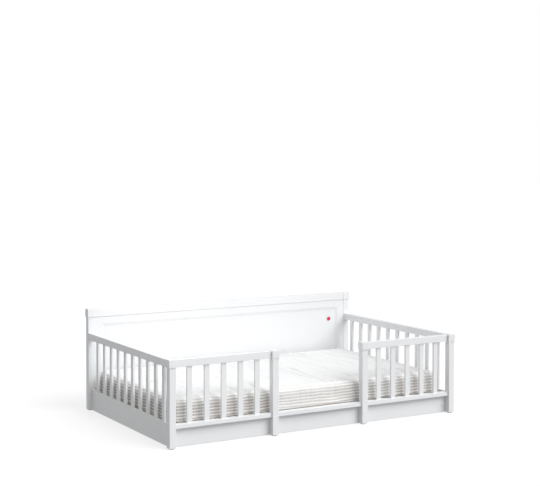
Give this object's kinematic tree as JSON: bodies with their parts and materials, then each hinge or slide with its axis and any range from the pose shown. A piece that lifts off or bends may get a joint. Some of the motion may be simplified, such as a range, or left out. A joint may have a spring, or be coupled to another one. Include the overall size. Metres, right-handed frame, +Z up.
{
  "type": "toddler bed",
  "caption": "Low white toddler bed with a solid panelled back, slatted ends, slatted front guards either side of an entry gap, and a striped mattress.",
  "frame": {"origin": "on the floor, under the middle of the bed's bounding box", "axes": "+X along the bed's length (to the right of someone facing the entry gap), +Y from the open front to the panelled back, +Z up"},
  "size_m": [2.09, 1.32, 0.68],
  "materials": {
    "white_paint": "satin white paint on solid wood",
    "bare_pine": "unpainted sanded pine",
    "beech_dowel": "fluted beech",
    "zinc_steel": "zinc-plated steel",
    "zinc_alloy": "die-cast zinc",
    "glide_plastic": "matt dark plastic",
    "badge_plastic": "gloss red plastic",
    "mattress_cover": "woven cotton, greige and white stripes on the border, white top"
  },
  "bodies": {
    "bed_frame": {"back_field_panel": "white_paint", "back_frame_bottom": "white_paint", "back_frame_top": "white_paint", "back_left_stile": "white_paint", "back_lower_rail": "white_paint", "back_panel_moulding": "white_paint", "back_right_stile": "white_paint", "back_skirt": "white_paint", "back_slat_ledger": "bare_pine", "back_top_rail": "white_paint", "base_slats": "bare_pine", "beam_end_blocks": "bare_pine", "cam_bolts": "zinc_steel", "cam_discs": "zinc_alloy", "cap_back_left": "white_paint", "cap_back_right": "white_paint", "cap_dowels": "beech_dowel", "cap_front_inner_left": "white_paint", "cap_front_inner_right": "white_paint", "cap_front_left": "white_paint", "cap_front_right": "white_paint", "centre_beam": "bare_pine", "centre_leg_left": "bare_pine", "centre_leg_right": "bare_pine", "front_left_spindle_1": "white_paint", "front_left_spindle_2": "white_paint", "front_left_spindle_3": "white_paint", "front_left_spindle_4": "white_paint", "front_left_spindle_5": "white_paint", "front_left_top_rail": "white_paint", "front_lower_rail_left": "white_paint", "front_lower_rail_middle": "white_paint", "front_lower_rail_right": "white_paint", "front_right_spindle_1": "white_paint", "front_right_spindle_2": "white_paint", "front_right_spindle_3": "white_paint", "front_right_spindle_4": "white_paint", "front_right_spindle_5": "white_paint", "front_right_top_rail": "white_paint", "front_skirt": "white_paint", "front_slat_ledger": "bare_pine", "ledger_screws": "zinc_steel", "left_end_board": "white_paint", "left_end_spindles": "white_paint", "left_end_top_rail": "white_paint", "post_back_left": "white_paint", "post_back_right": "white_paint", "post_front_inner_left": "white_paint", "post_front_inner_right": "white_paint", "post_front_left": "white_paint", "post_front_right": "white_paint", "post_glides": "glide_plastic", "right_end_board": "white_paint", "right_end_spindles": "white_paint", "right_end_top_rail": "white_paint", "round_badge": "badge_plastic", "slat_screws": "zinc_steel"},
    "mattress": {"mattress": "mattress_cover"}
  },
  "joints": [
    {"name": "mattress_lift", "type": "slide", "parent": "bed_frame", "child": "mattress", "axis": [0, 0, 1], "range_m": [0, 0.6]}
  ]
}
